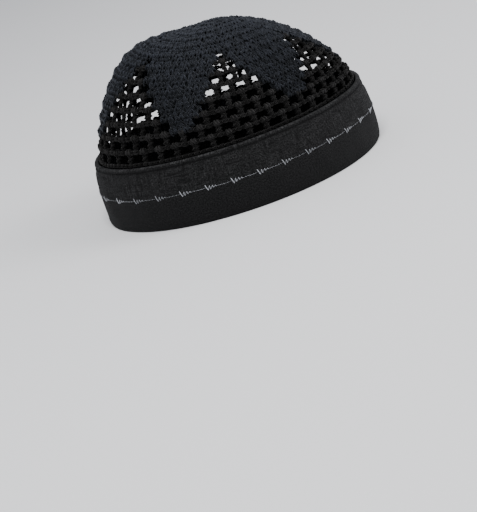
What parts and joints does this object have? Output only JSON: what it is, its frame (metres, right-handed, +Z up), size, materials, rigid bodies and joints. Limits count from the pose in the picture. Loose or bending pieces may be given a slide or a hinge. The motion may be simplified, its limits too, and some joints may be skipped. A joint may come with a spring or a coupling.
{
  "type": "prayer cap",
  "caption": "Brimless crocheted prayer cap: a dome of dense petals and triangular open mesh over a wide plain cloth band.",
  "frame": {"origin": "centre of the band's lower edge, in the plane that the cap rests on", "axes": "+X towards the front of the cap, +Y towards the wearer's left, +Z up through the crown"},
  "size_m": [0.2, 0.156, 0.1113],
  "materials": {
    "crochet_cotton": "matte twisted cotton yarn",
    "band_cloth": "matte close-woven cloth"
  },
  "bodies": {
    "root": {"crown": "crochet_cotton", "band": "band_cloth"}
  },
  "joints": []
}
